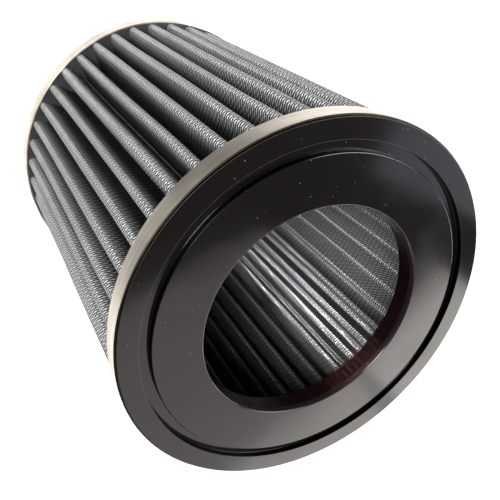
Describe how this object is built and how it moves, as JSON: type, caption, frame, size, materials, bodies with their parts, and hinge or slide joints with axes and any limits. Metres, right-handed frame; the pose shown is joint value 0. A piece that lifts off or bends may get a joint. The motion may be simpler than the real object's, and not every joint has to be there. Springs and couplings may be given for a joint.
{
  "type": "performance air filter",
  "caption": "Cylindrical air filter with wire-screened pleats between a closed rear cap and an open front cap, each held in a metal band.",
  "frame": {"origin": "centre of the closed end's outer face, on which the filter stands", "axes": "+Z along the filter's axis, out of the mouth; -Y towards the side where the covered crest lies, within a few degrees"},
  "size_m": [0.1492, 0.1492, 0.178],
  "materials": {
    "cap_black": "glossy black moulding",
    "band_metal": "brushed round its circumference, pale champagne",
    "sealant": "smooth satin dark grey",
    "coated_mesh": "dark coated woven wire, satin",
    "filter_cloth": "matte dark woven cloth"
  },
  "bodies": {
    "root": {"front_cap": "cap_black", "front_band": "band_metal", "front_potting": "sealant", "outer_screen": "coated_mesh", "filter_media": "filter_cloth", "inner_screen": "coated_mesh", "seam_strip": "coated_mesh", "rear_potting": "sealant", "rear_band": "band_metal", "rear_cap": "cap_black"}
  },
  "joints": []
}
